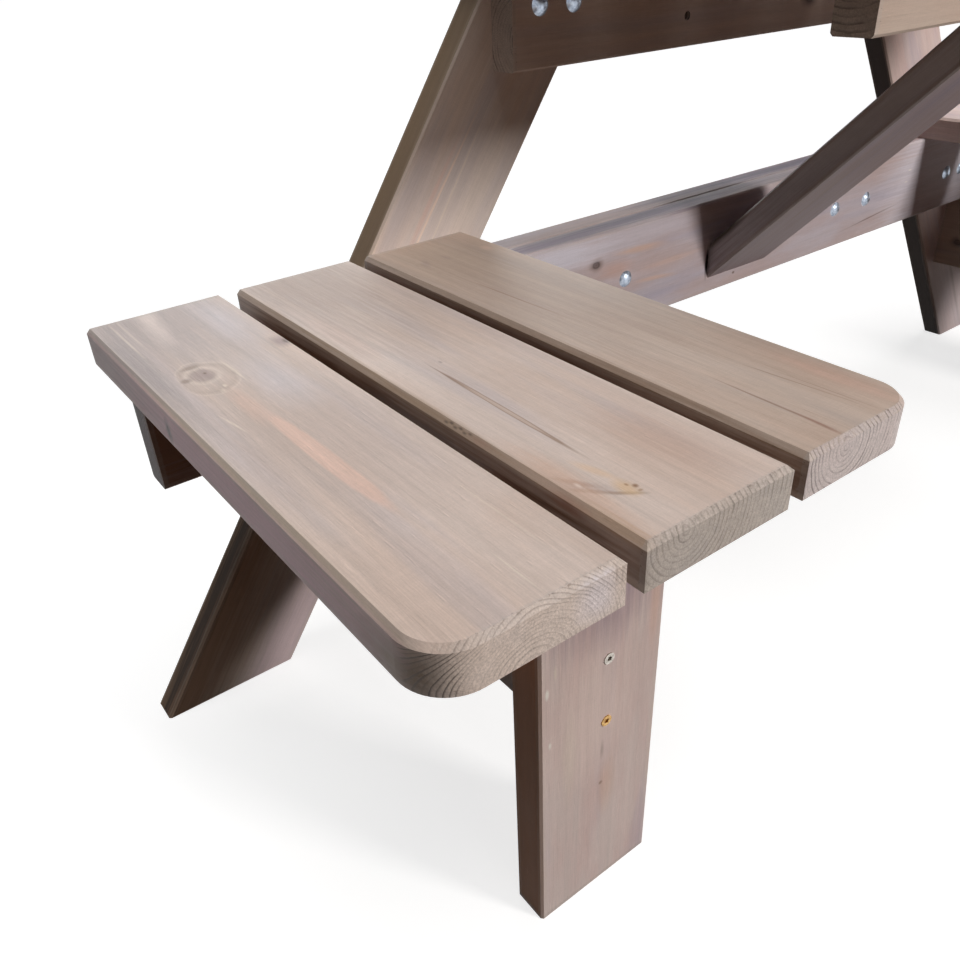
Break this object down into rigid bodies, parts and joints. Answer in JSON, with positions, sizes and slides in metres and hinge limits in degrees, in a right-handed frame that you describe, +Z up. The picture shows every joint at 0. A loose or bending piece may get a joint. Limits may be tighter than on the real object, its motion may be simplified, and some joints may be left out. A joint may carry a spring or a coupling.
{
  "type": "wall-mounted picnic table",
  "caption": "Wall-mounted picnic table of stained planks: a tabletop on a braced wall frame with slanted legs, and a seat on a front post at each side.",
  "frame": {"origin": "middle of the bounding box on the floor", "axes": "+X outward from the wall, +Y along the wall from the left seat to the right seat, +Z up"},
  "size_m": [0.54, 1.688, 0.74],
  "materials": {
    "stained_spruce": "taupe-grey wood stain on planed spruce, matt",
    "zinc_steel": "bright zinc plating",
    "yellow_zinc": "yellow zinc plating"
  },
  "bodies": {
    "root": {"batten_screws": "zinc_steel", "bolt_nuts": "zinc_steel", "bolt_washers": "zinc_steel", "brace": "stained_spruce", "brace_foot_screws": "zinc_steel", "brace_head_screws": "zinc_steel", "carriage_bolts": "zinc_steel", "leg_left": "stained_spruce", "leg_right": "stained_spruce", "plank_screws": "zinc_steel", "post_screws_yellow": "yellow_zinc", "post_screws_zinc": "zinc_steel", "rail_screws": "zinc_steel", "seat_beam": "stained_spruce", "seat_ledger": "stained_spruce", "seat_left_batten": "stained_spruce", "seat_left_plank_1": "stained_spruce", "seat_left_plank_2": "stained_spruce", "seat_left_plank_3": "stained_spruce", "seat_left_post": "stained_spruce", "seat_left_rail": "stained_spruce", "seat_right_batten": "stained_spruce", "seat_right_plank_1": "stained_spruce", "seat_right_plank_2": "stained_spruce", "seat_right_plank_3": "stained_spruce", "seat_right_post": "stained_spruce", "seat_right_rail": "stained_spruce", "top_batten": "stained_spruce", "top_beam": "stained_spruce", "top_ledger": "stained_spruce", "top_plank_1": "stained_spruce", "top_plank_2": "stained_spruce", "top_plank_3": "stained_spruce", "top_plank_4": "stained_spruce", "top_plank_5": "stained_spruce", "top_plank_6": "stained_spruce"}
  },
  "joints": []
}
